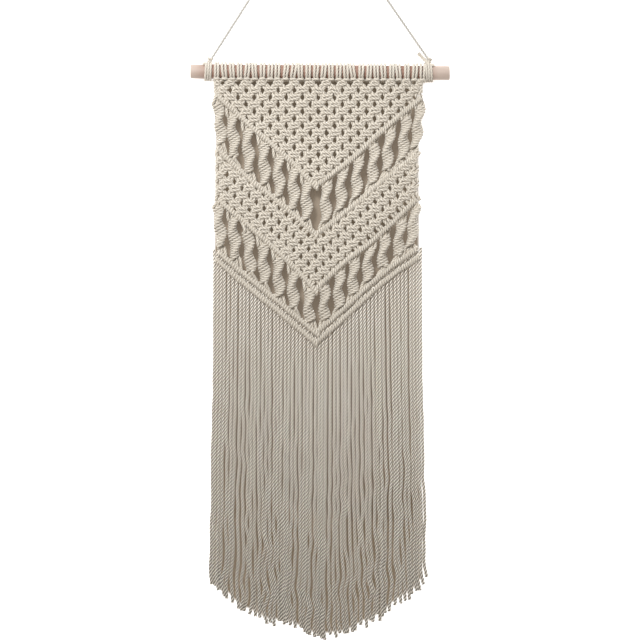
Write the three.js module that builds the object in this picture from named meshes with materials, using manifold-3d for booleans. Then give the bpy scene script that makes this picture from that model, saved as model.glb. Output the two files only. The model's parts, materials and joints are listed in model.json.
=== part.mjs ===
// Macrame wall hanging of three-ply cotton cord, knotted on a wooden rod and hung by a cord.
// Millimetres, +Z up, front towards -Y. The origin is the point where a nail carries the
// hanging cord, under the bend at its top. The rod and all below it are modelled about the
// middle of the rod, with "depth" measured down from its axis.
import * as THREE from 'three';
import { mergeVertices } from 'three/addons/utils/BufferGeometryUtils.js';
import Module from 'manifold-3d';

const wasm = await Module();
wasm.setup();

// Driving dimensions
const CORD = 3.5;                 // diameter of the cotton cord
const GAP = 0.3;                  // clearance between pieces that touch
const FINEST = 0.05;              // smallest detail kept where solids are joined
const ROD_RADIUS = 8.2;
const ROD_LENGTH = 296;
const ROD_BEVEL = 1.2;
const ROD_FACETS = 18;
const ROD_SHIFT = 2.9;            // the rod reaches further out on the right
const ROD_TILT = 0.0065;          // radians, right end low
const ROD_FROM_NAIL = { x: 1.9, y: -7.9, z: -193.4 };
const PANEL_Y = -4;               // middle plane of the knotting, in front of the rod's axis
const LEFT_EDGE = -118.5;
const RIGHT_EDGE = 120.5;

// Rows of double half hitches: x and depth of each V-shaped bar, from left to right
const BAR_1 = [
  { x: -119, depth: 22.6 }, { x: -72.8, depth: 64.9 }, { x: -32.1, depth: 100.4 },
  { x: -2.3, depth: 130.1 }, { x: 41.2, depth: 97.4 }, { x: 68.6, depth: 71.9 },
  { x: 121.5, depth: 27.0 },
];
const BAR_2 = [
  { x: -117.5, depth: 84.8 }, { x: -77, depth: 122.7 }, { x: -42.3, depth: 150.1 },
  { x: -1.7, depth: 185.9 }, { x: 37.1, depth: 156.3 }, { x: 71.7, depth: 126.7 },
  { x: 117.5, depth: 91.2 },
];
const BAR_3 = [
  { x: -116.5, depth: 143.6 }, { x: -69, depth: 183.7 }, { x: -32.1, depth: 217.3 },
  { x: -2.6, depth: 249.2 }, { x: 22.8, depth: 224 }, { x: 66.6, depth: 189.4 },
  { x: 114, depth: 144.6 },
];
const BAR_4 = [
  { x: -116, depth: 202.6 }, { x: -88.1, depth: 227.3 }, { x: -56.5, depth: 252.5 },
  { x: -1.6, depth: 298 }, { x: 20.7, depth: 278.6 }, { x: 81.9, depth: 224.2 },
  { x: 116.5, depth: 200 },
];
const BAR_5 = [
  { x: -119.5, depth: 210.4 }, { x: -88.1, depth: 238 }, { x: -56.5, depth: 263.4 },
  { x: -2.2, depth: 309.1 }, { x: 20.7, depth: 289.3 }, { x: 81.9, depth: 234.7 },
  { x: 119.5, depth: 208.7 },
];
const BAR = { halfHeight: 4.5, halfThickness: 4.6, groove: 0.82, ridgesPerArm: 8, sides: 6 };

// Alternating square knots: half pitches of the lattice of knots and holes
const TOP_NET = { middle: 1.1, depth: 12.9, columnStep: 9.15, rowStep: 8.15, rows: 14 };
const LOWER_NET = {
  middle: -1.7, depth: 193.3, columnStep: 8.44, rowStep: 8.27, spread: 0.57, columns: 13, levels: 6,
};
const TOP_OF_NET = 12.4;          // depth of the first row's flat top, under the rod's loops
const FIRST_KNOT_HALF_WIDTH = 6;
const FIRST_HOLE = { halfWidth: 2.8, halfHeight: 3.1 };
const HOLE = { halfWidth: 2.15, halfHeight: 2.6 };
const KNOT = { rim: 2.0, crown: 4.1 };

// Half-knot sinnets: x of each twisted column, in the bands between bars
const SINNETS_1 = [-112.3, -96.3, -78.7, -61, -43.9, -27.6, -12.8, 9.6, 26.8, 45, 63, 80.8, 99.2, 115];
const SINNETS_2 = [-112.3, -95.2, -78.1, -61.6, -44.5, -27.4, -9.7, 8, 24.5, 40.5, 57.6, 75.2, 92.9, 108.9];
const SINNET = { halfWidth: 5.7, halfDepth: 4.0, neck: 0.42, steps: 7, lobe: 25.6 };

// Lark's head knots on the rod
const HEADS = { count: 28, first: -114.8, pitch: 8.67, halfWidth: 3.4, thickness: 2.9, facets: 8 };
const CROSSBAR = { y: -9.2, depth: 8.4, radius: 2 };

// Fringe: one strand for each end of the 28 doubled cords
const FRINGE = {
  strands: 56, topLeft: -117.9, topRight: 118, flareLeft: -121.4, flareRight: 122,
  half: 1.55, sway: 0.25, uneven: 2,
};
const HEM = [
  { x: -118, depth: 584.9 }, { x: -104.3, depth: 595.2 }, { x: -90.6, depth: 610 },
  { x: -56.4, depth: 627.1 }, { x: -29, depth: 630.5 }, { x: -15.4, depth: 638.5 },
  { x: 1.7, depth: 645.4 }, { x: 32.5, depth: 640.8 }, { x: 59.9, depth: 626 },
  { x: 73.5, depth: 620.3 }, { x: 87.2, depth: 607.7 }, { x: 114.6, depth: 588.4 },
  { x: 121.4, depth: 575.8 },
];

// Hanging cord: its two ties on the rod and its bend over the nail
const TURN_GROOVE = 0.55;         // height of the groove between two turns, as a share of a turn's
const TIE = { left: -125.3, right: 127.9, turns: 2, thickness: 3.1, facets: 16 };
const TAIL = { from: { x: 125.6, depth: -9.6 }, to: { x: 115.8, depth: -20.2 }, radius: 1.6 };
const BEND_RADIUS = 8;
const LEG_SLOPE = { left: 0.648, right: 0.676 };   // sideways run for each unit of drop
const LEG_END = { left: -122.6, right: 127.8, depth: -12.6 };
const BEND_STEPS = 8;
const LEG_SHARES = [0, 0.03, 0.35, 0.7, 0.97];     // points of the route up each leg
const CORD_SIDES = 8;
const CORD_STEPS = 44;

const COTTON = { color: 0xcfc6b6, roughness: 0.95, metalness: 0 };
const BEECH = { color: 0xd9c3b5, roughness: 0.6, metalness: 0 };

// Reads a table of x and depth at a given x, straight between rows.
function depthAt(rows, x) {
  const last = rows.length - 1;
  let i = 0;
  while (i < last - 1 && x > rows[i + 1].x) i += 1;
  const share = (x - rows[i].x) / (rows[i + 1].x - rows[i].x);
  return rows[i].depth + (rows[i + 1].depth - rows[i].depth) * share;
}

function rodDrop(x) {
  return (x - ROD_SHIFT) * ROD_TILT;
}

function toSolid(geometry) {
  const bare = geometry.clone();
  bare.deleteAttribute('normal');
  bare.deleteAttribute('uv');
  const merged = mergeVertices(bare, 1e-4);
  return new wasm.Manifold(new wasm.Mesh({
    numProp: 3,
    vertProperties: new Float32Array(merged.attributes.position.array),
    triVerts: new Uint32Array(merged.index.array),
  }));
}

// The joined solid's outer body: slivers under FINEST are dropped, and pockets that the
// knots close in are filled.
function toGeometry(solid) {
  const bodies = solid.simplify(FINEST).decompose().sort((a, b) => b.volume() - a.volume());
  const mesh = bodies[0].getMesh();
  const geometry = new THREE.BufferGeometry();
  geometry.setAttribute('position', new THREE.BufferAttribute(new Float32Array(mesh.vertProperties), 3));
  geometry.setIndex(new THREE.BufferAttribute(new Uint32Array(mesh.triVerts), 1));
  const flat = geometry.toNonIndexed();
  flat.computeVertexNormals();
  return flat;
}

function fromTriangles(points, triangles) {
  const geometry = new THREE.BufferGeometry();
  geometry.setAttribute('position', new THREE.Float32BufferAttribute(points.flat(), 3));
  geometry.setIndex(triangles.flat());
  return geometry;
}

// A closed tube through stations {x, depth}, lying in the panel's plane. section(k) gives
// the ring at station k as [across, y] pairs.
function plaitedTube(stations, section, y = PANEL_Y) {
  const points = [];
  const triangles = [];
  const count = stations.length;
  const sides = section(0).length;
  stations.forEach((station, k) => {
    const before = stations[Math.max(k - 1, 0)];
    const after = stations[Math.min(k + 1, count - 1)];
    const run = new THREE.Vector2(after.x - before.x, -(after.depth - before.depth)).normalize();
    for (const [across, out] of section(k)) {
      points.push([station.x + run.y * across, y + out, -station.depth - run.x * across]);
    }
  });
  for (let k = 0; k < count - 1; k += 1) {
    for (let j = 0; j < sides; j += 1) {
      const next = (j + 1) % sides;
      const a = k * sides + j;
      const b = k * sides + next;
      triangles.push([a, b, b + sides], [a, b + sides, a + sides]);
    }
  }
  const end = (count - 1) * sides;
  for (let j = 1; j < sides - 1; j += 1) {
    triangles.push([0, j + 1, j], [end, end + j, end + j + 1]);
  }
  return fromTriangles(points, triangles);
}

function ovalSection(halfAcross, halfOut, sides, turn = 0) {
  return Array.from({ length: sides }, (unused, j) => {
    const angle = turn + (2 * Math.PI * j) / sides;
    return [halfAcross * Math.cos(angle), halfOut * Math.sin(angle)];
  });
}

// A V-shaped row of hitches: ridges and grooves alternate along both arms.
function hitchedBar(rows) {
  const apex = rows.reduce((low, row) => (row.depth > low.depth ? row : low));
  const steps = 2 * BAR.ridgesPerArm;
  const stations = [];
  for (let i = 0; i <= 2 * steps; i += 1) {
    const share = (i % steps) / steps;
    const from = i < steps ? rows[0].x : apex.x;
    const to = i < steps ? apex.x : rows[rows.length - 1].x;
    const x = i === 2 * steps ? to : from + (to - from) * share;
    stations.push({ x, depth: depthAt(rows, x) });
  }
  return plaitedTube(stations, (k) => {
    const size = k % 2 ? 1 : BAR.groove;
    return ovalSection(BAR.halfHeight * size, BAR.halfThickness * size, BAR.sides, Math.PI / BAR.sides);
  });
}

// A twisted column of half knots from one bar down to the next.
function sinnet(x, upper, lower, phase) {
  const from = depthAt(upper, x);
  const length = depthAt(lower, x) - from;
  const stations = Array.from({ length: SINNET.steps + 1 }, (unused, k) => ({
    x, depth: from + (length * k) / SINNET.steps,
  }));
  return plaitedTube(stations, (k) => {
    const twist = (Math.PI * (length * k)) / SINNET.steps / SINNET.lobe + phase;
    const size = k % SINNET.steps ? 1 : SINNET.neck;
    const corners = [[1, 1], [-1, 1], [-1, -1], [1, -1]];
    return corners.map(([across, out]) => {
      const u = across * SINNET.halfWidth * size;
      const v = out * SINNET.halfDepth * size;
      return [u * Math.cos(twist) - v * Math.sin(twist), u * Math.sin(twist) + v * Math.cos(twist)];
    });
  });
}

// Net of square knots. Each knot is a cell crowned at its middle, with a hole at each free
// corner; corner(column, row) gives a corner's place and its hole's half sizes.
function squareKnotNet(knots, corner) {
  const points = [];
  const found = new Map();
  const cells = knots.map(([column, row]) => {
    const left = corner(column - 1, row);
    const right = corner(column + 1, row);
    const above = corner(column, row - 1);
    const below = corner(column, row + 1);
    const outline = [
      [left.x + left.halfWidth, left.depth],
      [below.x - below.halfWidth, below.depth],
      [below.x, below.depth - below.halfHeight],
      [below.x + below.halfWidth, below.depth],
      [right.x - right.halfWidth, right.depth],
      [above.x + above.halfWidth, above.depth],
      [above.x, above.depth + above.halfHeight],
      [above.x - above.halfWidth, above.depth],
    ];
    const cell = [];
    for (const [rawX, depth] of outline) {
      const x = Math.min(Math.max(rawX, LEFT_EDGE), RIGHT_EDGE);
      const key = `${x.toFixed(3)} ${depth.toFixed(3)}`;
      if (!found.has(key)) {
        found.set(key, points.length);
        points.push([x, PANEL_Y - KNOT.rim, -depth], [x, PANEL_Y + KNOT.rim, -depth]);
      }
      if (!cell.includes(found.get(key))) cell.push(found.get(key));
    }
    return cell;
  });
  const edges = new Set();
  for (const cell of cells) {
    cell.forEach((point, i) => edges.add(`${point} ${cell[(i + 1) % cell.length]}`));
  }
  const triangles = [];
  for (const cell of cells) {
    const middle = cell.reduce((sum, point) => [sum[0] + points[point][0], sum[1] + points[point][2]], [0, 0]);
    const x = middle[0] / cell.length;
    const z = middle[1] / cell.length;
    const front = points.length;
    points.push([x, PANEL_Y - KNOT.crown, z], [x, PANEL_Y + KNOT.crown, z]);
    cell.forEach((a, i) => {
      const b = cell[(i + 1) % cell.length];
      triangles.push([front, a, b], [front + 1, b + 1, a + 1]);
      if (!edges.has(`${b} ${a}`)) triangles.push([b, a, a + 1], [b, a + 1, b + 1]);
    });
  }
  return fromTriangles(points, triangles);
}

function topNet() {
  const { middle, depth, columnStep, rowStep, rows } = TOP_NET;
  const closed = { halfWidth: 0, halfHeight: 0 };
  const knots = [];
  for (let row = 0; row < rows; row += 1) {
    const outer = rows - 1 - row;
    for (let column = -outer; column <= outer; column += 2) knots.push([column, row]);
  }
  return squareKnotNet(knots, (column, row) => {
    const x = middle + column * columnStep;
    if (row < 0) return { x, depth: TOP_OF_NET, halfWidth: FIRST_KNOT_HALF_WIDTH, halfHeight: 0 };
    if (Math.abs(column) + row >= rows) {
      const edgeX = Math.min(Math.max(x, LEFT_EDGE), RIGHT_EDGE);
      return { x, depth: row ? depthAt(BAR_1, edgeX) : depth + 1, ...closed };
    }
    return { x, depth: depth + row * rowStep, ...(row ? HOLE : FIRST_HOLE) };
  });
}

function lowerNet() {
  const { middle, depth, columnStep, rowStep, spread, columns, levels } = LOWER_NET;
  const closed = { halfWidth: 0, halfHeight: 0 };
  const knots = [];
  for (let column = -columns; column <= columns; column += 1) {
    for (let level = 1; level < levels; level += 2) knots.push([column, level - Math.abs(column)]);
  }
  return squareKnotNet(knots, (column, row) => {
    const x = middle + column * columnStep;
    const level = row + Math.abs(column);
    if (level === 0) return { x, depth: depthAt(BAR_2, x), ...closed };
    if (level === levels) return { x, depth: depthAt(BAR_3, x), ...closed };
    const edge = Math.abs(column) >= columns;
    return { x, depth: depth + row * rowStep + Math.abs(column) * spread, ...(edge ? closed : HOLE) };
  });
}

function knottedPanel() {
  const pieces = [topNet(), lowerNet(), ...[BAR_1, BAR_2, BAR_3, BAR_4].map(hitchedBar)];
  SINNETS_1.forEach((x, number) => pieces.push(sinnet(x, BAR_1, BAR_2, number)));
  SINNETS_2.forEach((x, number) => pieces.push(sinnet(x, BAR_3, BAR_4, number + 0.5)));
  return toGeometry(wasm.Manifold.union(pieces.map(toSolid)));
}

// Strands hang from the last bar, a little apart, and flare slightly towards their ends.
function fringe() {
  const { strands, topLeft, topRight, flareLeft, flareRight, half } = FRINGE;
  const pieces = [hitchedBar(BAR_5)];
  for (let i = 0; i < strands; i += 1) {
    const share = i / (strands - 1);
    const topX = topLeft + (topRight - topLeft) * share;
    const endX = flareLeft + (flareRight - flareLeft) * share;
    const from = depthAt(BAR_5, topX);
    const to = depthAt(HEM, endX) - FRINGE.uneven * Math.abs(Math.sin(2.3 * i));
    const stations = [0, 0.5, 0.985, 1].map((along) => ({
      x: topX + (endX - topX) * along ** 2 + FRINGE.sway * Math.sin(5 * along + 1.7 * i),
      depth: from + (to - from) * along,
    }));
    pieces.push(plaitedTube(stations, (k) => {
      const size = k === stations.length - 1 ? half / 2 : half;
      return ovalSection(size * Math.SQRT2, size * Math.SQRT2, 4, Math.PI / 4);
    }));
  }
  return toGeometry(wasm.Manifold.union(pieces.map(toSolid)));
}

// A ring of cord turns round the rod: one rounded ridge for each turn.
function turnsRoundRod(x, turns, halfWidth, thickness, facets) {
  const inner = (ROD_RADIUS + GAP) / Math.cos(Math.PI / facets);
  const step = (2 * halfWidth) / turns;
  const profile = [new THREE.Vector2(inner, -halfWidth)];
  for (let turn = 0; turn < turns; turn += 1) {
    profile.push(new THREE.Vector2(inner + thickness, -halfWidth + step * (turn + 0.5)));
    if (turn < turns - 1) {
      profile.push(new THREE.Vector2(inner + thickness * TURN_GROOVE, -halfWidth + step * (turn + 1)));
    }
  }
  profile.push(new THREE.Vector2(inner, halfWidth), profile[0].clone());
  const ring = new THREE.LatheGeometry(profile, facets);
  ring.rotateZ(Math.PI / 2);
  ring.translate(x, 0, -rodDrop(x));
  return ring;
}

// Lark's heads: each doubled cord loops twice over the rod and is held by its own bight.
function larkHeadRow() {
  const { count, first, pitch, halfWidth, thickness, facets } = HEADS;
  const pieces = [];
  for (let i = 0; i < count; i += 1) {
    const x = first + pitch * i;
    pieces.push(turnsRoundRod(x, 2, halfWidth, thickness, facets));
  }
  const ends = [first - halfWidth, first + pitch * (count - 1) + halfWidth];
  const stations = ends.map((x) => ({ x, depth: CROSSBAR.depth + rodDrop(x) }));
  const bight = () => ovalSection(CROSSBAR.radius, CROSSBAR.radius, 4, Math.PI / 4);
  pieces.push(plaitedTube(stations, bight, CROSSBAR.y));
  return toGeometry(wasm.Manifold.union(pieces.map(toSolid)));
}

function tie(x) {
  return turnsRoundRod(x, TIE.turns, CORD * TIE.turns * 0.5, TIE.thickness, TIE.facets);
}

// The right tie keeps a short free end that stands up beside the hanging cord.
function tieWithTail() {
  const { from, to, radius } = TAIL;
  const stations = [0, 0.5, 1].map((along) => ({
    x: from.x + (to.x - from.x) * along, depth: from.depth + (to.depth - from.depth) * along,
  }));
  const tail = plaitedTube(stations, () => ovalSection(radius, radius, 6), 0);
  return toGeometry(toSolid(tie(TIE.right)).add(toSolid(tail)));
}

// The hanging cord runs straight from each tie to the nail and bends over it.
function hangingCord() {
  const bendPoint = (angle) => new THREE.Vector3(
    BEND_RADIUS * Math.cos(angle), 0, CORD / 2 - BEND_RADIUS + BEND_RADIUS * Math.sin(angle));
  const foot = (x) => new THREE.Vector3(
    ROD_FROM_NAIL.x + x, ROD_FROM_NAIL.y, ROD_FROM_NAIL.z - LEG_END.depth);
  const from = Math.PI - Math.atan(LEG_SLOPE.left);
  const to = Math.atan(LEG_SLOPE.right);
  const bend = [];
  for (let i = 0; i <= BEND_STEPS; i += 1) bend.push(bendPoint(from + ((to - from) * i) / BEND_STEPS));
  const leg = (end, top) => LEG_SHARES.map((share) => end.clone().lerp(top, share));
  const route = new THREE.CatmullRomCurve3([
    ...leg(foot(LEG_END.left), bend[0]), ...bend, ...leg(foot(LEG_END.right), bend[BEND_STEPS]).reverse(),
  ], false, 'centripetal');
  const outline = ovalSection(CORD / 2, CORD / 2, CORD_SIDES).map(([u, v]) => new THREE.Vector2(u, v));
  const steps = { steps: CORD_STEPS, bevelEnabled: false, extrudePath: route };
  return new THREE.ExtrudeGeometry(new THREE.Shape(outline), steps);
}

function rod() {
  const half = ROD_LENGTH / 2;
  const profile = [[0, -half], [ROD_RADIUS - ROD_BEVEL, -half], [ROD_RADIUS, ROD_BEVEL - half],
    [ROD_RADIUS, half - ROD_BEVEL], [ROD_RADIUS - ROD_BEVEL, half], [0, half]];
  const turned = new THREE.LatheGeometry(profile.map(([r, y]) => new THREE.Vector2(r, y)), ROD_FACETS);
  turned.rotateZ(Math.PI / 2);
  return turned;
}

function named(name, geometry, finish) {
  const mesh = new THREE.Mesh(geometry, new THREE.MeshStandardMaterial(finish));
  mesh.name = name;
  return mesh;
}

const hanging = new THREE.Group();
hanging.position.set(ROD_FROM_NAIL.x, ROD_FROM_NAIL.y, ROD_FROM_NAIL.z);
const rodMesh = named('rod', rod(), BEECH);
rodMesh.position.x = ROD_SHIFT;
rodMesh.rotation.y = ROD_TILT;
hanging.add(
  rodMesh,
  named('lark_head_row', larkHeadRow(), COTTON),
  named('knotted_panel', knottedPanel(), COTTON),
  named('fringe', fringe(), COTTON),
  named('tie_left', tie(TIE.left), COTTON),
  named('tie_right', tieWithTail(), COTTON),
);

const wallHanging = new THREE.Group();
wallHanging.add(hanging, named('hanging_cord', hangingCord(), COTTON));

export default wallHanging;
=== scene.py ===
import json
import math

import bpy
import numpy as np
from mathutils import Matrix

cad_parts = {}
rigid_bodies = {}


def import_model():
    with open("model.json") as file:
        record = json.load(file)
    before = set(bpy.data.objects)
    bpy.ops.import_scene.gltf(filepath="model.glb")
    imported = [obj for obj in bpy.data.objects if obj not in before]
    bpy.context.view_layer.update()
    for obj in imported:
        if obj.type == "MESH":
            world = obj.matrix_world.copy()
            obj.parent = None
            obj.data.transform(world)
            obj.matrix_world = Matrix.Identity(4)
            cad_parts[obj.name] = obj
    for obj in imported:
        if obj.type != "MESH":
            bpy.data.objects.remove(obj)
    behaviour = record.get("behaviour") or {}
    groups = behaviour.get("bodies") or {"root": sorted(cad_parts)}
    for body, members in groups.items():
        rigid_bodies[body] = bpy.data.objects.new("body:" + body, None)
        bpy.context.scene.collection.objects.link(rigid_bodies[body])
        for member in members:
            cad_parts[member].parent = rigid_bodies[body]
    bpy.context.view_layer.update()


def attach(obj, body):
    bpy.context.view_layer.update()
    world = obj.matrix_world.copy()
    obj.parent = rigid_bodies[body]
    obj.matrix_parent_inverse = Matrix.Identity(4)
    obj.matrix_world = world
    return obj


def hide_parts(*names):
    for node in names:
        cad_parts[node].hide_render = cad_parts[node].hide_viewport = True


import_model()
bpy.ops.object.select_all(action="DESELECT")


# ---------------------------------------------------------------------------------------
# Camera
# It looks straight at the wall from far off, level with the middle of the hanging, so the
# panel is seen flat and the nail is just out of view above.
# ---------------------------------------------------------------------------------------

MM = 0.001
VIEW_WIDTH = 729.6 * MM           # what the picture takes in at the panel
VIEW_MIDDLE = (4.8 * MM, -11.9 * MM, -476.2 * MM)
CAMERA_DISTANCE = 5.0

camera_data = bpy.data.cameras.new("camera")
camera_data.sensor_width = 36
camera_data.lens = camera_data.sensor_width * CAMERA_DISTANCE / VIEW_WIDTH
camera_data.clip_end = 30
camera = bpy.data.objects.new("camera", camera_data)
camera.location = (VIEW_MIDDLE[0], VIEW_MIDDLE[1] - CAMERA_DISTANCE, VIEW_MIDDLE[2])
camera.rotation_euler = (math.pi / 2, 0, 0)
bpy.context.collection.objects.link(camera)
bpy.context.scene.camera = camera


# ---------------------------------------------------------------------------------------
# Hanging cord
# One length of three-ply cotton cord, tied to the dowel at both ends and hung over a nail.
# The weight pulls both legs straight, and the cord bends round the nail.
# ---------------------------------------------------------------------------------------

# Sizes from here on are in millimetres: x across, y away from the room, and depth down, all
# from the middle of the dowel's axis.
CORD = 3.5
LAY = 11.5                        # length in which the three plies turn once round
PLIES = 3
GROOVE = 0.74                     # radius in the grooves between plies, as a share of the cord's
END_ONLY = 12                     # the power that keeps the swelling of a cut end near the end
FINE_PLACES = 8                   # worked out between two given points of a path
TURN = 2 * math.pi

ROD_FROM_NAIL = (1.9, -7.9, -193.4)
BEND_RADIUS = 8
BEND_PLACES = 9
LEG_SLOPE = (0.648, 0.676)        # sideways run of each leg for each unit of drop
LEG_END = ((-122.6, 0, -12.6), (127.8, 0, -12.6))
LEG_SHARES = (0, 0.03, 0.35, 0.7, 0.97)

HANGER_COTTON = ("#CBC8C2", "#BEBAB3", "#8D8880")     # two tones of the yarn, and the painted shade of its grooves
YARN_WAVES, FIBRE_WAVES = 35, 1900        # noise waves in a metre: 30 mm and 0.5 mm long

rng = np.random.default_rng(28)


def hung(places):
    """Places on the hanging, as metres from the nail."""
    x, y, depth = np.array(places, float).T
    return (np.column_stack([x, y, -depth]) + ROD_FROM_NAIL) * MM


def smooth(points, step):
    """Points about one step apart along a smooth curve through the given ones, and its length."""
    given = np.array(points, float)
    chords = np.diff(given, axis=0)
    runs = np.linalg.norm(chords, axis=1)[:, None]
    heading = chords / runs
    bisecting = (heading[:-1] * runs[1:] + heading[1:] * runs[:-1]) / (runs[1:] + runs[:-1])
    heading = np.vstack([heading[:1], bisecting, heading[-1:]])
    t = np.linspace(0, 1, FINE_PLACES, endpoint=False)[None, :, None]
    a, b, run = given[:-1, None], given[1:, None], runs[:, None]
    fine = (a * (1 + 2 * t) * (1 - t) ** 2 + b * t ** 2 * (3 - 2 * t)
            + run * heading[:-1, None] * t * (1 - t) ** 2
            - run * heading[1:, None] * t ** 2 * (1 - t))
    fine = np.vstack([fine.reshape(-1, 3), given[-1:]])
    gone = np.concatenate([[0], np.cumsum(np.linalg.norm(np.diff(fine, axis=0), axis=1))])
    along = np.linspace(0, gone[-1], max(2, round(gone[-1] / step) + 1))
    return np.column_stack([np.interp(along, gone, fine[:, k]) for k in range(3)]), gone[-1]


def twisted_cord(name, paths, diameter=CORD, step=1.1, lay=LAY, end_swell=1.0):
    """Lays a cord of three twisted plies along each path, all as one piece."""
    section = bpy.data.curves.new("section", "CURVE")
    section.dimensions = "2D"
    outline = section.splines.new("POLY")
    outline.points.add(2 * PLIES - 1)
    outline.use_cyclic_u = True
    for k, point in enumerate(outline.points):
        radius = diameter / 2 * MM * (GROOVE if k % 2 else 1)
        angle = -k * TURN / (2 * PLIES)
        point.co = (radius * math.cos(angle), radius * math.sin(angle), 0, 1)
    section_object = bpy.data.objects.new("section", section)
    bpy.context.collection.objects.link(section_object)
    cords = bpy.data.curves.new(name, "CURVE")
    cords.dimensions = "3D"
    cords.bevel_mode = "OBJECT"
    cords.bevel_object = section_object
    cords.use_fill_caps = True
    for path in paths:
        places, length = smooth(path, step)
        spline = cords.splines.new("POLY")
        spline.points.add(len(places) - 1)
        weighted = np.column_stack([hung(places), np.ones(len(places))])
        spline.points.foreach_set("co", weighted.ravel())
        turned = rng.uniform(0, TURN) + np.linspace(0, length / lay * TURN, len(places))
        spline.points.foreach_set("tilt", turned)
        swell = 1 + (end_swell - 1) * np.linspace(0, 1, len(places)) ** END_ONLY
        spline.points.foreach_set("radius", swell)
        spline.use_smooth = True
    piece = bpy.data.objects.new(name, cords)
    bpy.context.collection.objects.link(piece)
    bpy.ops.object.select_all(action="DESELECT")
    piece.select_set(True)
    bpy.context.view_layer.objects.active = piece
    bpy.ops.object.convert(target="MESH")
    bpy.ops.object.mode_set(mode="EDIT")
    bpy.ops.mesh.select_all(action="SELECT")
    bpy.ops.mesh.remove_doubles(threshold=0.01 * MM)
    bpy.ops.object.mode_set(mode="OBJECT")
    piece.select_set(False)
    bpy.data.objects.remove(section_object)
    return piece


def add(nodes, kind, links=(), **settings):
    """Adds a shader node with its settings, and links or sets each (socket, source) of it."""
    node = nodes.new(kind)
    for key, value in settings.items():
        setattr(node, key, value)
    for socket, source in links:
        if isinstance(source, bpy.types.NodeSocket):
            node.id_data.links.new(source, node.inputs[socket])
        else:
            node.inputs[socket].default_value = source
    return node


def colour(hex_code):
    """An sRGB hex colour as linear RGBA."""
    parts = [int(hex_code[k:k + 2], 16) / 255 for k in (1, 3, 5)]
    return (*[c / 12.92 if c <= 0.04045 else ((c + 0.055) / 1.055) ** 2.4 for c in parts], 1)


def new_material(name):
    """A material that has no shader nodes yet, and its nodes."""
    material = bpy.data.materials.new(name)
    material.use_nodes = True
    material.node_tree.nodes.clear()
    return material, material.node_tree.nodes


def cotton(name, colours, hollow):
    """Unbleached cotton, spun and plied: matt, with a soft fuzz. The yarn's tone wanders over
    some 30 mm, fibres show as specks 0.5 mm across, and painted shade darkens the grooves
    between plies, drawn as wide as the plies themselves, so that they show from across a room."""
    material, nodes = new_material(name)
    light, middle, deep = [colour(code) for code in colours]
    place = add(nodes, "ShaderNodeTexCoord")
    tone = add(nodes, "ShaderNodeTexNoise", [
        ("Vector", place.outputs["Object"]), ("Scale", YARN_WAVES), ("Detail", 3)])
    specks = add(nodes, "ShaderNodeTexNoise", [
        ("Vector", place.outputs["Object"]), ("Scale", FIBRE_WAVES), ("Detail", 2)])
    base = add(nodes, "ShaderNodeMix", [
        ("Factor", tone.outputs["Fac"]), (6, light), (7, middle)], data_type="RGBA")
    # Painted shade in the grooves between the plies, darkest at the section's groove points
    around = add(nodes, "ShaderNodeSeparateXYZ", [(0, place.outputs["UV"])])
    wave = add(nodes, "ShaderNodeMath", [
        (0, around.outputs["Y"]), (1, PLIES * TURN)], operation="MULTIPLY")
    ridge = add(nodes, "ShaderNodeMath", [(0, wave.outputs[0])], operation="COSINE")
    groove = add(nodes, "ShaderNodeMapRange", [
        (0, ridge.outputs[0]), (1, 0.6), (2, -0.8), (3, 0), (4, hollow)])
    body = add(nodes, "ShaderNodeMix", [
        ("Factor", groove.outputs[0]), (6, base.outputs[2]), (7, deep)], data_type="RGBA")
    bump = add(nodes, "ShaderNodeBump", [
        ("Height", specks.outputs["Fac"]), ("Strength", 0.35), ("Distance", 0.3 * MM)])
    shader = add(nodes, "ShaderNodeBsdfPrincipled", [
        ("Base Color", body.outputs[2]), ("Roughness", 0.95), ("Specular IOR Level", 0.2),
        ("Sheen Weight", 0.3), ("Sheen Roughness", 0.6), ("Normal", bump.outputs[0])])
    add(nodes, "ShaderNodeOutputMaterial", [("Surface", shader.outputs["BSDF"])])
    return material


def bend_place(angle):
    """A place on the bend over the nail, measured as all else from the dowel."""
    across = BEND_RADIUS * math.cos(angle) - ROD_FROM_NAIL[0]
    rise = CORD / 2 - BEND_RADIUS + BEND_RADIUS * math.sin(angle)
    return np.array((across, -ROD_FROM_NAIL[1], ROD_FROM_NAIL[2] - rise))


bend = [bend_place(angle) for angle in np.linspace(
    math.pi - math.atan(LEG_SLOPE[0]), math.atan(LEG_SLOPE[1]), BEND_PLACES)]
left_leg = [np.array(LEG_END[0]) + (bend[0] - LEG_END[0]) * share for share in LEG_SHARES]
right_leg = [np.array(LEG_END[1]) + (bend[-1] - LEG_END[1]) * share for share in LEG_SHARES]
route, route_length = smooth(left_leg + bend + right_leg[::-1], 10)
hanging_cord = twisted_cord("cord_over_nail", [route], step=1.0)
hanging_cord.data.materials.append(cotton("unbleached_cotton_cord", HANGER_COTTON, hollow=0.5))
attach(hanging_cord, "root")
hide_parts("hanging_cord")


# ---------------------------------------------------------------------------------------
# Dowel
# A turned beech rod, sanded and left bare, with its end edges eased. It hangs with its
# right end a little low.
# ---------------------------------------------------------------------------------------

ROD_RADIUS = 8.2
ROD_LENGTH = 296
ROD_SHIFT = 2.9                   # its middle lies this far right of the hanging's
ROD_TILT = 0.0065                 # radians, right end low
BEECH = ("#9F8071", "#8C6858", "#6E4C3C")     # two tones of the wood, and its rays
# Colour of the painted light on both ends of the dowel
PAINTED_LIGHT_AT_ENDS = "#C4B3A7"
PAINTED_LIGHT_SPAN = (118, 140)            # the wood's own tone out to the first, and all painted light from the second on
GRAIN_WAVES, RAY_WAVES = 320, 1500        # noise waves in a metre across the rod: 3 and 0.7 mm
ALONG_GRAIN = 0.12                # and along it, as a share of that


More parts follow.
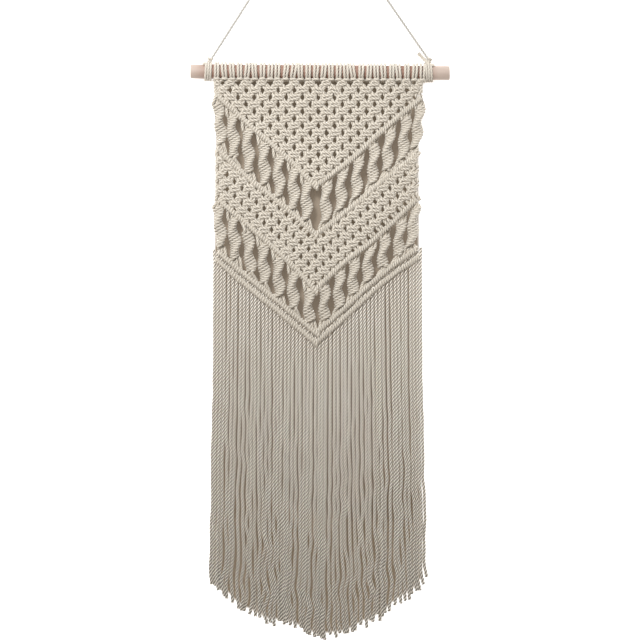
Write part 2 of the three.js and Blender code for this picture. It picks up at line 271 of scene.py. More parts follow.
def beech(name, colours, painted_light_at_ends):
    """Sanded beech: a warm pinkish brown with short darker rays and a faint grain along the rod,
    with painted light that makes it paler towards both ends, beyond the lark's heads."""
    material, nodes = new_material(name)
    pale, warm, ray = [colour(code) for code in colours]
    place = add(nodes, "ShaderNodeTexCoord")
    along = add(nodes, "ShaderNodeMapping", [
        (0, place.outputs["Object"]), ("Scale", (ALONG_GRAIN, 1, 1))])
    grain = add(nodes, "ShaderNodeTexNoise", [
        (0, along.outputs[0]), ("Scale", GRAIN_WAVES), ("Detail", 5)])
    rays = add(nodes, "ShaderNodeTexNoise", [
        (0, along.outputs[0]), ("Scale", RAY_WAVES), ("Detail", 2)])
    wood = add(nodes, "ShaderNodeMix", [
        ("Factor", grain.outputs["Fac"]), (6, pale), (7, warm)], data_type="RGBA")
    flecks = add(nodes, "ShaderNodeMapRange", [
        (0, rays.outputs["Fac"]), (1, 0.56), (2, 0.72), (3, 0), (4, 0.5)])
    body = add(nodes, "ShaderNodeMix", [
        ("Factor", flecks.outputs[0]), (6, wood.outputs[2]), (7, ray)], data_type="RGBA")
    # Painted light: paler towards both ends, beyond the lark's heads, where no cord shades the
    # dowel
    axes = add(nodes, "ShaderNodeSeparateXYZ", [(0, place.outputs["Object"])])
    out = add(nodes, "ShaderNodeMath", [(0, axes.outputs["X"])], operation="ABSOLUTE")
    painted_light_share = add(nodes, "ShaderNodeMapRange", [
        (0, out.outputs[0]), (1, PAINTED_LIGHT_SPAN[0] * MM), (2, PAINTED_LIGHT_SPAN[1] * MM), (3, 0), (4, 0.9)])
    tone = add(nodes, "ShaderNodeMix", [
        ("Factor", painted_light_share.outputs[0]), (6, body.outputs[2]), (7, colour(painted_light_at_ends))],
        data_type="RGBA")
    bump = add(nodes, "ShaderNodeBump", [
        ("Height", rays.outputs["Fac"]), ("Strength", 0.2), ("Distance", 0.1 * MM)])
    shader = add(nodes, "ShaderNodeBsdfPrincipled", [
        ("Base Color", tone.outputs[2]), ("Roughness", 0.6), ("Normal", bump.outputs[0])])
    add(nodes, "ShaderNodeOutputMaterial", [("Surface", shader.outputs["BSDF"])])
    return material


bpy.ops.mesh.primitive_cylinder_add(
    vertices=64, radius=ROD_RADIUS * MM, depth=ROD_LENGTH * MM, end_fill_type="NGON",
    location=hung([(ROD_SHIFT, 0, 0)])[0], rotation=(0, math.pi / 2 + ROD_TILT, 0))
dowel = bpy.context.object
dowel.name = "beech_rod"
bpy.ops.object.transform_apply(location=True, rotation=True, scale=True)
bevel = dowel.modifiers.new("eased ends", "BEVEL")
bevel.width = 1.2 * MM
bevel.segments = 4
bevel.limit_method = "ANGLE"
bevel.angle_limit = math.radians(60)
bpy.ops.object.modifier_apply(modifier=bevel.name)
bpy.ops.object.shade_smooth_by_angle(angle=math.radians(40))
dowel.data.materials.append(beech("sanded_beech", BEECH, PAINTED_LIGHT_AT_ENDS))
dowel.select_set(False)
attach(dowel, "root")
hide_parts("rod")


# ---------------------------------------------------------------------------------------
# Lark's head knots
# Twenty-eight cords, each folded in half, looped over the dowel from behind, and locked by
# pulling both ends through the fold. The fold lies across the front under the dowel.
# ---------------------------------------------------------------------------------------

HEADS = 28
FIRST_HEAD = -114.8
HEAD_PITCH = 8.67
WRAP = ROD_RADIUS + CORD / 2      # radius of the cord's middle where it goes round the dowel
END_GAP = 1.7                     # half the way between a knot's two hanging ends
KNOT_PULL = 1.9                   # how far a square knot draws two neighbouring heads together
END_DEPTH = 10.6
BAR_DEPTH = 8.5                   # of the fold that crosses in front
PANEL_Y = -4                      # middle plane of all the knotting

HEAD_CORD = 3.4                   # pulled tight round the dowel, the cord is thinner
HEAD_LEANS, HEAD_SHIFTS = 0.7, 0.25       # how unevenly the heads are pulled
# Two tones of the yarn, and the painted shade of its grooves
PANEL_COTTON = ("#E2DBCF", "#D6CEC1", "#928877")
PANEL_HOLLOW, TAUT_HOLLOW = 0.72, 0.45     # how dark the painted shade in the grooves is in the knots, and when taut


def rod_drop(x):
    """How much lower the tilted dowel lies there."""
    return (x - ROD_SHIFT) * ROD_TILT


def knot_side(k):
    """How far the ends of a head are drawn to the neighbour that shares its first square knot."""
    return -KNOT_PULL if k % 2 else KNOT_PULL


def lark_head(k, x):
    """The path of one folded cord: an end up over the front of the dowel, down behind it, across
    in front of both ends where they leave the dowel, and round it again to the other end."""
    ends = x + knot_side(k)
    lean = rng.normal(0, HEAD_LEANS)
    x += rng.normal(0, HEAD_SHIFTS)
    half = rng.uniform(1.65, 2.1)
    legs = []
    for side in (-1, 1):
        top = x + lean + side * half
        foot = x + side * rng.uniform(1.6, 1.9)
        legs.append([(ends + side * END_GAP, PANEL_Y, END_DEPTH), (x + side * 1.6, -5.2, 8.2),
                     (foot, -9.0, 4.3), ((top + foot) / 2, -WRAP, 0), (top, -6.8, -7.2),
                     (top, 0, -WRAP), (top, 6.8, -7.2), (top, WRAP, 0),
                     (x + side * 2.3, 6.8, 7.2),
                     (x + side * 2.6, 0, WRAP + 0.2), (x + side * 2.75, -5.2, BAR_DEPTH + 0.8),
                     (x + side * 2.3, -8.2, BAR_DEPTH)])
    middle = [(x, -9.0, BAR_DEPTH + rng.normal(0, 0.2))]
    path = legs[0] + middle + legs[1][::-1]
    return np.array(path) + (0, 0, rod_drop(x))


head_places = [FIRST_HEAD + k * HEAD_PITCH for k in range(HEADS)]
head_paths = [lark_head(k, x) for k, x in enumerate(head_places)]
lark_heads = twisted_cord("lark_heads", head_paths, diameter=HEAD_CORD, step=1.3)
taut_finish = cotton("unbleached_cotton_taut", PANEL_COTTON, TAUT_HOLLOW)
lark_heads.data.materials.append(taut_finish)
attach(lark_heads, "root")
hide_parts("lark_head_row")


# ---------------------------------------------------------------------------------------
# Nets of square knots
# Alternating square knots: in each, the two outer of four cords are tied round the inner
# two, and the next row takes two cords from each of two neighbours. The upper net fills the
# first V, and a band of three rows lies along the next one.
# ---------------------------------------------------------------------------------------

LEFT_EDGE, RIGHT_EDGE = -118.5, 120.5
EDGE_ROOM = 4.4                   # from the panel's edge to the middle of the last knot
ROWS = 14
BAND_LEVELS = 6
LAST_COLUMN = 13
NET_MIDDLE, NET_DEPTH = 1.1, 12.9
HALF_PITCH = (9.15, 8.15)         # between neighbouring knots, where the paths below fit
BAND_MIDDLE, BAND_DEPTH = -1.7, 193.3
BAND_PITCH = (8.44, 8.27)
BAND_SAG = 0.57                   # how much less than a row each column rises outwards
BAND_ROOM = (1, 3)                # further room for the band's last knots, left and right
FIRST_ROW = 0.78                  # width of the knots next to the dowel, as a share of the others'
NET_CORD = 4.2                    # slack in the knots, the cord is plumper than under load
KNOT_TURNS, KNOT_SHIFTS = 0.09, 0.35      # how unevenly the knots are tied
TO_KNOT, TO_BAR = 0.56, 0.8       # how far a cord runs on, as a share of the way to the next knot
EDGE_TO_KNOT, EDGE_TO_BAR = 1.0, 1.45     # the same at the panel's edge

# The worker that shows crosses the front, turns at the right and crosses back. The other
# crosses behind, comes round the front at the left, and goes back behind.
FRONT_WORKER = ((-3.6, -2.6, -2.1), (0, -3.4, -1.8), (3.8, -3.0, -1.7), (5.5, -1.6, 0),
                (3.8, -3.0, 1.7), (0, -3.4, 1.8), (-3.6, -2.6, 2.1))
BACK_WORKER = ((5.2, -0.6, -2.2), (3.6, 2.2, -2.1), (0, 2.9, -1.9), (-4.2, 1.8, -1.7),
               (-5.5, -1.2, -1.5), (-5.1, -3.2, 0), (-5.5, -1.2, 1.5), (-4.2, 1.8, 1.7),
               (0, 2.9, 1.9), (3.6, 2.2, 2.1), (5.2, -0.6, 2.2))
CORE = ((1.9, -1.3, -3.8), (1.8, 0, 0), (1.9, -1.3, 3.8))
TAIL_Y = PANEL_Y - 1.7
panel_finish = cotton("unbleached_cotton_panel", PANEL_COTTON, PANEL_HOLLOW)


def net_place(column, row):
    """The middle of a knot of the upper net, across and down."""
    x = NET_MIDDLE + column * HALF_PITCH[0]
    depth = NET_DEPTH + row * HALF_PITCH[1]
    return np.clip(x, LEFT_EDGE + EDGE_ROOM, RIGHT_EDGE - EDGE_ROOM), depth


def band_place(column, row):
    """The middle of a knot of the band, across and down."""
    x = BAND_MIDDLE + column * BAND_PITCH[0]
    depth = BAND_DEPTH + row * BAND_PITCH[1] + abs(column) * BAND_SAG
    first, last = LEFT_EDGE + EDGE_ROOM + BAND_ROOM[0], RIGHT_EDGE - EDGE_ROOM - BAND_ROOM[1]
    return np.clip(x, first, last), depth


def tails(middle, towards, side, level, reach):
    """Where the outer and inner cord run from a knot towards a neighbour, near end first."""
    across, down = towards
    off = np.array((side * abs(down), -level * abs(across)))
    off = off / math.hypot(across, down) * NET_CORD / 2
    pair = []
    for sign in (1, -1):
        near = middle + np.array(towards) * 0.5 + sign * off
        far = middle + np.array(towards) * reach + sign * off
        pair.append([(near[0], TAIL_Y, near[1]), (far[0], TAIL_Y, far[1])])
    return pair


def square_knot(middle, ends, stretch):
    """The paths of the four cords of one knot, between the tails that reach its neighbours."""
    turned = rng.normal(0, KNOT_TURNS)
    shift = rng.normal(0, KNOT_SHIFTS, 2)

    def set_in(path, mirror=1):
        placed = []
        for x, y, depth in path:
            x, depth = x * stretch[0] * mirror, depth * stretch[1]
            placed.append((middle[0] + x - depth * turned + shift[0], PANEL_Y + y,
                           middle[1] + depth + x * turned + shift[1]))
        return placed

    paths = []
    for side, template in ((-1, FRONT_WORKER), (1, BACK_WORKER)):
        paths.append(ends[side, -1][0][::-1] + set_in(template) + ends[side, 1][0])
    for side in (-1, 1):
        paths.append(ends[side, -1][1][::-1] + set_in(CORE, side) + ends[side, 1][1])
    return paths


def net(places, place):
    """The paths of a whole net. Cords that have no neighbouring knot run on into the bar."""
    paths = []
    for column, row in places:
        middle = np.array(place(column, row))
        ends = {}
        spread = []
        for side in (-1, 1):
            for level in (-1, 1):
                towards = np.array(place(column + side, row + level)) - middle
                spread.append(abs(towards))
                reach = TO_KNOT if (column + side, row + level) in places else TO_BAR
                if abs(column + side) > LAST_COLUMN:
                    beyond = (column, row + 2 * level)
                    reach = EDGE_TO_KNOT if beyond in places else EDGE_TO_BAR
                ends[side, level] = tails(middle, towards, side, level, reach)
                if place is net_place and row == 0 and level == -1:
                    head = column + LAST_COLUMN + (side > 0)
                    for cord, offset in enumerate((side * END_GAP, -side * END_GAP)):
                        x = head_places[head] + knot_side(head) + offset
                        ends[side, level][cord] = [(x, PANEL_Y, END_DEPTH - 1.2 + rod_drop(x))]
        stretch = np.clip(np.mean(spread, axis=0) / HALF_PITCH, 0.55, 1.1)
        if place is net_place and row == 0:
            stretch[0] *= FIRST_ROW
        paths += square_knot(middle, ends, stretch)
    return paths


upper_places = {(column, row) for row in range(ROWS)
                for column in range(row - LAST_COLUMN, LAST_COLUMN + 1 - row, 2)}
band_places = {(column, level - abs(column)) for level in range(1, BAND_LEVELS, 2)
               for column in range(-LAST_COLUMN, LAST_COLUMN + 1)}
nets = (("upper_net", upper_places, net_place), ("lower_net", band_places, band_place))
for name, places, place in nets:
    piece = twisted_cord(name, net(sorted(places), place), diameter=NET_CORD, step=1.5)
    piece.data.materials.append(panel_finish)
    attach(piece, "root")
    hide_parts("knotted_panel")


# ---------------------------------------------------------------------------------------
# Bars
# Rows of double half hitches: every cord in turn is wound twice round a filler cord that is
# held on the slant. Each V is two bars that cross at its point, and the last V is doubled.
# ---------------------------------------------------------------------------------------

# The middle of each bar, from its left end to its right one
BARS = (
    ((-119, 22.6), (-72.8, 64.9), (-32.1, 100.4), (-2.3, 130.1),
     (41.2, 97.4), (68.6, 71.9), (121.5, 27.0)),
    ((-117.5, 84.8), (-77, 122.7), (-42.3, 150.1), (-1.7, 185.9),
     (37.1, 156.3), (71.7, 126.7), (117.5, 91.2)),
    ((-116.5, 143.6), (-69, 183.7), (-32.1, 217.3), (-2.6, 249.2),
     (22.8, 224), (66.6, 189.4), (114, 144.6)),
    ((-116, 202.6), (-88.1, 227.3), (-56.5, 252.5), (-1.6, 298),
     (20.7, 278.6), (81.9, 224.2), (116.5, 200)),
    ((-119.5, 210.4), (-88.1, 238), (-56.5, 263.4), (-2.2, 309.1),
     (20.7, 289.3), (81.9, 234.7), (119.5, 208.7)),
)
BAR_Y = PANEL_Y - 0.8
BAR_POINT = 3                     # the number of the point where the two arms of a V meet
BAR_CORD = 3.4
HITCH_PITCH = 3.05
HITCH_ACROSS, HITCH_DEEP = 2.25, 2.9      # half the height and half the depth of the path
HITCH_STEPS = 12                  # points of the path in one turn
UNEVEN_TURNS = 0.22
LEFT_LEAN, RIGHT_LEAN = 1.0, -1.3         # how far the turns lean along the two arms
EDGE_TRIM = 3.5                   # how far inside the panel's edge a bar's first turn lies
ARM_OVERRUN = 4                   # how far the upper arm runs on over the other at the V's point


def bar_depth(bar, x):
    """How far down the middle of a bar lies there."""
    xs, depths = np.array(BARS[bar]).T
    return float(np.interp(x, xs, depths))


def hitched(core, lean):
    """The path of the cord wound round a filler, with turns that lean along it."""
    middle, length = smooth([(x, BAR_Y, depth) for x, depth in core], HITCH_PITCH / HITCH_STEPS)
    turn = np.linspace(0, length / HITCH_PITCH * TURN, len(middle))[:, None]
    along = np.gradient(middle, axis=0)
    along /= np.linalg.norm(along, axis=1)[:, None]
    side = np.cross(along, (0, 1, 0))
    whole_turns = np.arange(0, turn[-1, 0] + TURN, TURN)
    wander = np.interp(turn, whole_turns, rng.normal(0, UNEVEN_TURNS, len(whole_turns)))
    return (middle + side * (HITCH_ACROSS * np.cos(turn) + wander) + lean * np.cos(turn) * along
            + HITCH_DEEP * np.sin(turn) * np.array((0, 1, 0)))


bar_paths = []
for bar in BARS:
    point = np.array(bar[BAR_POINT])
    for arm in (list(bar[:BAR_POINT + 1]), list(bar[:BAR_POINT - 1:-1])):
        outer, inner = np.array(arm[:2])
        arm[0] = tuple(outer + (inner - outer) / np.linalg.norm(inner - outer) * EDGE_TRIM)
        lean = RIGHT_LEAN
        if arm[0][0] < 0:
            lean = LEFT_LEAN
            way = point - np.array(arm[-2])
            arm.append(tuple(point + way / np.linalg.norm(way) * ARM_OVERRUN))
        bar_paths.append(hitched(arm, lean))
bars = twisted_cord("hitched_bars", bar_paths, diameter=BAR_CORD, step=1.5)
bars.data.materials.append(panel_finish)
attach(bars, "root")
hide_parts("knotted_panel")


# ---------------------------------------------------------------------------------------
# Spiral sinnets
# Between the bars, four cords at a time are tied in half knots that all start from the same
# side, so each chain twists round itself like a corkscrew.
# ---------------------------------------------------------------------------------------

# The bars above and below each row of chains, and where each chain hangs
SINNET_ROWS = (
    (0, 1, (-112.3, -96.3, -78.7, -61, -43.9, -27.6, -12.8,
            9.6, 26.8, 45, 63, 80.8, 98.8, 113.8)),
    (2, 3, (-112.3, -95.2, -78.1, -61.6, -44.5, -27.4, -9.7,
            8, 24.5, 40.5, 57.6, 75.2, 92.9, 108.9)),
)
SINNET_CORD = 3.9
HALF_KNOT = 3.7                   # height of one half knot
KNOT_STEPS = 8                    # points of the path in one half knot
SINNET_ACROSS, SINNET_DEEP = 5.5, 3.3     # half the width and half the depth of the path
CROSSING_SLOPE = 0.3              # how much each crossing of the front slants
BELOW_BAR, ABOVE_BAR = 6.5, 8     # room left under one bar and over the next
NARROWER = 0.12                   # share of its width that a chain has lost at both ends
WRIGGLE = 1.3                     # how far a chain's middle strays as it twists
STARTS = (0.2, 0.35)              # where the twists start, in radians: mean and spread
SWAYS = 0.4                       # how unevenly the chains hang
INNER_CORD = 1.2                  # from a chain's middle to each cord inside
GATHER = 0.045                    # share of its place across that it moves inwards on its way down
LOBE = 27                         # from one wide place of the twisted chain to the next
CORDS_APART = 4.3                 # where the four cords leave the bars


def on_bar(bar, x):
    """The nearest place to x where a cord can leave a bar."""
    ends = BARS[bar][0][0] + EDGE_TRIM, BARS[bar][-1][0] - EDGE_TRIM
    x = float(np.clip(x, *ends))
    return x, PANEL_Y, bar_depth(bar, x)


def sinnet(x, upper, lower):
    """The paths of one chain's two tying cords and of the two cords inside."""
    top, bottom = bar_depth(upper, x) + BELOW_BAR, bar_depth(lower, x) - ABOVE_BAR
    depth = np.linspace(top, bottom, round((bottom - top) / HALF_KNOT * KNOT_STEPS))
    share = (depth - top) / (bottom - top)
    turn = -(depth - top) / HALF_KNOT * TURN / 2
    twist = -(depth - top) / LOBE * TURN / 2 + rng.normal(*STARTS)
    sway = rng.normal(0, SWAYS) * np.sin(share * math.pi) - x * GATHER * (share - 0.5)
    middle = x + sway + WRIGGLE * np.cos(2 * twist + 0.8)
    taper = 1 - NARROWER * np.abs(2 * share - 1)
    first, last = middle[0], middle[-1]
    paths = []
    for side in (-1, 1):
        phase = 0 if side > 0 else math.pi
        across = SINNET_ACROSS * np.cos(turn + phase) * taper
        deep = SINNET_DEEP * np.sin(turn + phase)
        aside = across * np.cos(twist) - deep * np.sin(twist)
        outward = across * np.sin(twist) + deep * np.cos(twist)
        wound = np.column_stack(
            [middle + aside, PANEL_Y + outward, depth - CROSSING_SLOPE * aside])
        head = on_bar(upper, first + side * 1.5 * CORDS_APART)
        foot = on_bar(lower, last + math.copysign(1.5 * CORDS_APART, aside[-1]))
        paths.append(np.vstack([[head], wound, [np.array(foot) - (0, 0, 3), foot]]))
        inner = np.column_stack(
            [middle + side * INNER_CORD, np.full(len(depth), PANEL_Y), depth])
        head = on_bar(upper, first + side * 0.5 * CORDS_APART)
        foot = on_bar(lower, last + side * 0.5 * CORDS_APART)
        paths.append(np.vstack([[head], inner[::KNOT_STEPS], [foot]]))
    return paths


for row, (upper, lower, places) in enumerate(SINNET_ROWS):
    paths = [path for x in places for path in sinnet(x, upper, lower)]
    piece = twisted_cord(f"spiral_sinnets_{row + 1}", paths, diameter=SINNET_CORD, step=1.5)
    piece.data.materials.append(panel_finish)
    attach(piece, "root")
    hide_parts("knotted_panel")


# ---------------------------------------------------------------------------------------
# Fringe
# The fifty-six cord ends hang straight from the last bar, cut to a shallow V. They lie side
# by side, wander a little, and cross near the cut ends, which are a little swollen.
# ---------------------------------------------------------------------------------------

STRANDS = 56
FRINGE_CORD = 4.0
FRINGE_LAY = 12.6                 # hanging free, the cord untwists a little
FRINGE_STEPS = 24
# Two tones of the yarn, lighter than in the panel, a much darker painted shade for its grooves, and
# how dark that painted shade is
FRINGE_COTTON = ("#FFFAEF", "#F5EBDD", "#453C30")
FRINGE_HOLLOW = 0.9
STRAYING, WAVING = 0.6, 2.6       # how far the strands stray on their way, and wave at the ends
SWINGING = 0.25                   # how far they stray in and out of the fringe
CLOSEST, WIDEST = 3.6, 5.1        # from one strand's middle to the next
AT_SIDES = 3.8                    # the widest that is left near the panel's edges
SIDE_GAPS = 3                     # so many gaps at each edge
LOOSENED = 1.6                    # how much wider they may lie at the cut ends, or half that closer
SETTLING = 60                     # rounds of pushing apart
FRINGE_TOP = (-117.9, 118)        # the first and the last strand, where they leave the bar
FRINGE_FOOT = (-121.4, 122)       # and at their cut ends
UNEVEN_CUT = 2
# The line along which the ends are cut
HEM = ((-118, 584.9), (-104.3, 595.2), (-90.6, 610), (-56.4, 627.1), (-29, 630.5),
       (-15.4, 638.5), (1.7, 645.4), (32.5, 640.8), (59.9, 626), (73.5, 620.3),
       (87.2, 607.7), (114.6, 588.4), (121.4, 575.8))


def fringe_paths():
    """The paths of the cord ends, left to right, pushed apart where they would share a place."""
    share = np.linspace(0, 1, STRANDS)[:, None]
    fallen = np.linspace(0, 1, FRINGE_STEPS)[None, :]
    top = FRINGE_TOP[0] + (FRINGE_TOP[1] - FRINGE_TOP[0]) * share
    foot = FRINGE_FOOT[0] + (FRINGE_FOOT[1] - FRINGE_FOOT[0]) * share
    across = top + (foot - top) * fallen
    across += np.cumsum(rng.normal(0, STRAYING, across.shape), axis=1) * fallen ** 0.6
    across += rng.normal(0, WAVING, across.shape) * fallen ** 2
    loose = LOOSENED * fallen ** 3
    widest = np.tile(WIDEST + loose, (STRANDS - 1, 1))
    widest[:SIDE_GAPS] = widest[-SIDE_GAPS:] = AT_SIDES
    for _ in range(SETTLING):
        gaps = np.diff(across, axis=0)
        push = (np.clip(gaps, CLOSEST - loose / 2, widest) - gaps) * (fallen > 0) / 3
        across[:-1] -= push
        across[1:] += push
    layer = np.where(np.arange(STRANDS) % 2, LOOSENED, -LOOSENED)[:, None] / 2 * fallen ** 3
    sway = np.cumsum(rng.normal(0, SWINGING, across.shape), axis=1) * fallen + layer
    start = np.array([bar_depth(3, x) for x in top[:, 0]])     # behind both bars of the last V
    end = np.interp(foot[:, 0], *np.array(HEM).T) + rng.normal(0, UNEVEN_CUT, STRANDS)
    depth = start[:, None] + (end - start)[:, None] * fallen
    return np.stack([across, PANEL_Y + sway, depth], axis=2)


strands = fringe_paths()
fringe_cotton = cotton("unbleached_cotton_fringe", FRINGE_COTTON, FRINGE_HOLLOW)
halves = (("fringe_left", 0, STRANDS // 2), ("fringe_right", STRANDS // 2, STRANDS))
for name, first, last in halves:
    piece = twisted_cord(name, strands[first:last], diameter=FRINGE_CORD, step=1.2,
                         lay=FRINGE_LAY, end_swell=1.15)
    piece.data.materials.append(fringe_cotton)
    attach(piece, "root")
    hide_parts("fringe")


# ---------------------------------------------------------------------------------------
# Ties of the hanging cord
# The cord goes a few times round each end of the dowel, and is hitched round its own leg.
# On the right its cut end stands out above the dowel, and its plies come apart.
# ---------------------------------------------------------------------------------------

TIES = (("tie_round_left_end", "tie_left", -125.3), ("tie_round_right_end", "tie_right", 127.9))
TIE_TURNS = 3.1
TIE_STEPS = 16                    # points of the path in one turn
TIE_PITCH = 2.75
TIE_CORD = 3.0                    # pulled tight, the cord is thinner
FOOT_KNOT = 2.3                   # radius of the hitch round the leg's foot
FOOT_TURNS = 1.6
FOOT_STEPS = 24                   # points of the whole hitch
TAIL = ((125.6, -9.6), (114.2, -21.4))    # from where the free end leaves the tie to its cut


def tie_path(x, foot):
    """From the foot of the leg and round the dowel, towards the side away from the leg."""
    angle = np.linspace(0, TIE_TURNS * TURN, round(TIE_TURNS * TIE_STEPS))
    across = x + (angle / TURN - TIE_TURNS / 2) * TIE_PITCH * (1 if foot[0] < x else -1)
    reach = ROD_RADIUS + TIE_CORD / 2
    wound = np.column_stack([across, -reach * np.sin(angle), -reach * np.cos(angle) + rod_drop(x)])
    return np.vstack([[foot], wound])


def foot_knot(foot):
    """A hitch round the foot of the leg, its end tucked in behind."""
    angle = np.linspace(0, FOOT_TURNS * TURN, FOOT_STEPS)
    reach = FOOT_KNOT * np.sin(np.linspace(0.15, 0.85, FOOT_STEPS) * math.pi)
    return np.column_stack([foot[0] + reach * np.cos(angle), foot[1] - reach * np.sin(angle),
                            foot[2] + 1.2 - 0.5 * angle])


for (name, node, x), foot in zip(TIES, LEG_END):
    paths = [tie_path(x, foot), foot_knot(foot)]
    if node == "tie_right":
        (x0, d0), (x1, d1) = TAIL
        for apart in (-1, 0, 1):
            paths.append([(x0 + 2, -3, d0 + 1 + apart * 0.6), (x0, -2, d0 - 1 + apart * 0.8),
                          ((x0 + x1) / 2, -1 + apart * 0.5, (d0 + d1) / 2 - 1 + apart),
                          (x1 + abs(apart), -1 + apart, d1 + apart * 1.2)])
    piece = twisted_cord(name, paths, diameter=TIE_CORD, step=1.0, end_swell=1.2)
    piece.data.materials.append(taut_finish)
    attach(piece, "root")
    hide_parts(node)


# ---------------------------------------------------------------------------------------
# Wall, floor and light
# A white wall just behind the dowel, with painted shade where the hanging covers it, a pale
# floor below, one soft lamp above and to the left of the hanging, a wash of light on the wall
# alone, and a lamp behind for the hanging's back.
# ---------------------------------------------------------------------------------------

WALL_Y = 4.5 * MM
FLOOR_Z = -1.7
# The wall's white, and the painted shade on it behind the hanging: a darker tone behind the dense
# knots and a lighter one where the hanging is open
WALL_WHITE, SHADE, OPEN_SHADE = "#F4F4F4", "#675D50", "#766C60"
FLOOR_GREY = "#A39A90"
ROOM_SIZE = 6
SHADE_TOP = -190                  # of the painted shade on the wall, from the nail
SHADE_HALF, SHADE_SPREAD = 113.3, 0.0092  # half its width level with the nail, and its spread
SHADE_SHORT = 1                   # how far above the cut ends it stops
SHADE_SOFT = 5                    # width of its soft edge
ROWS_LEAN = 0.86                  # rise of the rows of chains and of the fringe's top, outwards
OPEN_ROWS = ((130, 187), (246, 299), (312, 540))  # down the middle, where each band of lighter painted shade begins and ends


def ramp(nodes, source, clear, full):
    """From none to all of the painted shade as the source goes from one place to the other."""
    return add(nodes, "ShaderNodeMapRange", [(0, source), (1, clear * MM), (2, full * MM)],
               interpolation_type="SMOOTHSTEP").outputs[0]


def wall_with_painted_shade(name, hex_code, shade, open_shade):
    """Matt white paint with painted shade: dark where the hanging lies so close over it that hardly
    any light would get in, and less dark between the chains and in the fringe, where it is open.
    Seen from behind, the wall is clear, so that the back of the hanging shows."""
    material, nodes = new_material(name)
    place = add(nodes, "ShaderNodeTexCoord")
    axes = add(nodes, "ShaderNodeSeparateXYZ", [(0, place.outputs["Object"])])
    hem = np.array(HEM) * (1, -1) + (ROD_FROM_NAIL[0], ROD_FROM_NAIL[2] + SHADE_SHORT)
    lowest, spans = hem.min(axis=0), np.ptp(hem, axis=0)
    along = add(nodes, "ShaderNodeMapRange", [
        (0, axes.outputs["X"]), (1, lowest[0] * MM), (2, (lowest[0] + spans[0]) * MM)])
    line = add(nodes, "ShaderNodeFloatCurve", [("Value", along.outputs[0])])
    points = line.mapping.curves[0].points
    for k, (x, z) in enumerate((hem - lowest) / spans):
        point = points[k] if k < 2 else points.new(x, z)
        point.location = (x, z)
        point.handle_type = "VECTOR"
    line.mapping.update()
    height = add(nodes, "ShaderNodeMath", [
        (0, axes.outputs["Z"]), (1, lowest[1] * MM)], operation="SUBTRACT")
    above = add(nodes, "ShaderNodeMath", [
        (0, line.outputs[0]), (1, -spans[1] * MM), (2, height.outputs[0])],
        operation="MULTIPLY_ADD")
    centred = add(nodes, "ShaderNodeMath", [(0, axes.outputs["X"]), (1, MM)], operation="SUBTRACT")
    off = add(nodes, "ShaderNodeMath", [(0, centred.outputs[0])], operation="ABSOLUTE")
    edge = add(nodes, "ShaderNodeMath", [
        (0, axes.outputs["Z"]), (1, SHADE_SPREAD), (2, off.outputs[0])],
        operation="MULTIPLY_ADD")
    level = add(nodes, "ShaderNodeMath", [
        (0, off.outputs[0]), (1, -ROWS_LEAN), (2, axes.outputs["Z"])],
        operation="MULTIPLY_ADD")
    mask = ramp(nodes, edge.outputs[0], SHADE_HALF + SHADE_SOFT / 2, SHADE_HALF - SHADE_SOFT / 2)
    under_rod = ramp(nodes, axes.outputs["Z"], SHADE_TOP, SHADE_TOP - SHADE_SOFT)
    over_hem = ramp(nodes, above.outputs[0], 0, SHADE_SOFT)
    for side in (under_rod, over_hem):
        both = add(nodes, "ShaderNodeMath", [(0, mask), (1, side)], operation="MULTIPLY")
        mask = both.outputs[0]
    opened = 0
    for first, last in np.array(OPEN_ROWS) - ROD_FROM_NAIL[2]:
        down = ramp(nodes, level.outputs[0], -first, -first - SHADE_SOFT)
        up = ramp(nodes, level.outputs[0], -last, -last + SHADE_SOFT)
        row = add(nodes, "ShaderNodeMath", [
            (0, down), (1, up), (2, opened)], operation="MULTIPLY_ADD")
        opened = row.outputs[0]
    # Painted shade: the lighter tone in the open bands, the darker one elsewhere behind the hanging
    dark = add(nodes, "ShaderNodeMix", [
        ("Factor", opened), (6, colour(shade)), (7, colour(open_shade))], data_type="RGBA")
    tone = add(nodes, "ShaderNodeMix", [
        ("Factor", mask), (6, colour(hex_code)), (7, dark.outputs[2])], data_type="RGBA")
    paint = add(nodes, "ShaderNodeBsdfDiffuse", [("Color", tone.outputs[2])])
    side = add(nodes, "ShaderNodeNewGeometry")
    clear = add(nodes, "ShaderNodeBsdfTransparent")
    surface = add(nodes, "ShaderNodeMixShader", [
        (0, side.outputs["Backfacing"]), (1, paint.outputs[0]), (2, clear.outputs[0])])
    add(nodes, "ShaderNodeOutputMaterial", [("Surface", surface.outputs[0])])
    return material


def floor_paint(name, hex_code):
    """Matt paint of one colour."""
    material, nodes = new_material(name)
    paint = add(nodes, "ShaderNodeBsdfDiffuse", [("Color", colour(hex_code))])
    add(nodes, "ShaderNodeOutputMaterial", [("Surface", paint.outputs[0])])
    return material


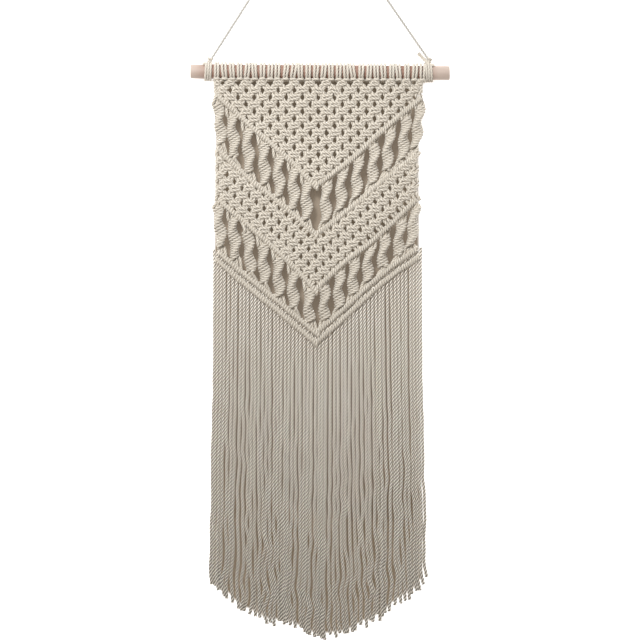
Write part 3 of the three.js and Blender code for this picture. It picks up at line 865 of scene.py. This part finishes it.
bpy.ops.mesh.primitive_plane_add(
    size=ROOM_SIZE, location=(0, WALL_Y, FLOOR_Z + ROOM_SIZE / 2), rotation=(math.pi / 2, 0, 0))
bpy.ops.object.transform_apply(location=True, rotation=True, scale=True)
wall = bpy.context.object
wall.name = "wall"
wall.data.materials.append(wall_with_painted_shade("white_wall_with_painted_shade", WALL_WHITE, SHADE, OPEN_SHADE))
bpy.ops.mesh.primitive_plane_add(
    size=ROOM_SIZE, location=(0, WALL_Y - ROOM_SIZE / 2, FLOOR_Z))
floor = bpy.context.object
floor.name = "floor"
floor.data.materials.append(floor_paint("pale_floor_paint", FLOOR_GREY))


def lamp(name, kind, energy, place, target, **settings):
    """A lamp at a place, turned towards its target."""
    data = bpy.data.lights.new(name, kind)
    data.energy = energy
    for key, value in settings.items():
        setattr(data, key, value)
    light = bpy.data.objects.new(name, data)
    bpy.context.collection.objects.link(light)
    light.location = place
    way = np.array(target) - place
    light.rotation_euler = (math.atan2(math.hypot(way[0], way[1]), -way[2]), 0,
                            math.atan2(way[1], way[0]) - math.pi / 2)
    return light


lamp("key", "AREA", 1.7, (-0.42, -1.5, 0.45), (0, 0, -0.30), shape="DISK", size=0.45,
     spread=math.radians(40))
wash = lamp("wall_wash", "SUN", 6, (-0.1, -1.4, 0.2), (0, 0, 0), angle=2.6, use_shadow=False)
washed = bpy.data.collections.new("washed")
washed.objects.link(wall)
wash.light_linking.receiver_collection = washed
back = lamp("back_light", "SUN", 2.4, (0.3, 1.4, 0.3), (0, 0, 0), angle=0.6)
hanging = bpy.data.collections.new("hanging")
for piece in bpy.data.objects:
    if piece.type == "MESH" and piece not in (wall, floor):
        hanging.objects.link(piece)
back.light_linking.receiver_collection = hanging
back.light_linking.blocker_collection = hanging

world = bpy.data.worlds.new("room")
world.use_nodes = True
world.node_tree.nodes["Background"].inputs["Color"].default_value = (1, 1, 1, 1)
world.node_tree.nodes["Background"].inputs["Strength"].default_value = 0.48
bpy.context.scene.world = world
bpy.context.scene.view_settings.view_transform = "Standard"
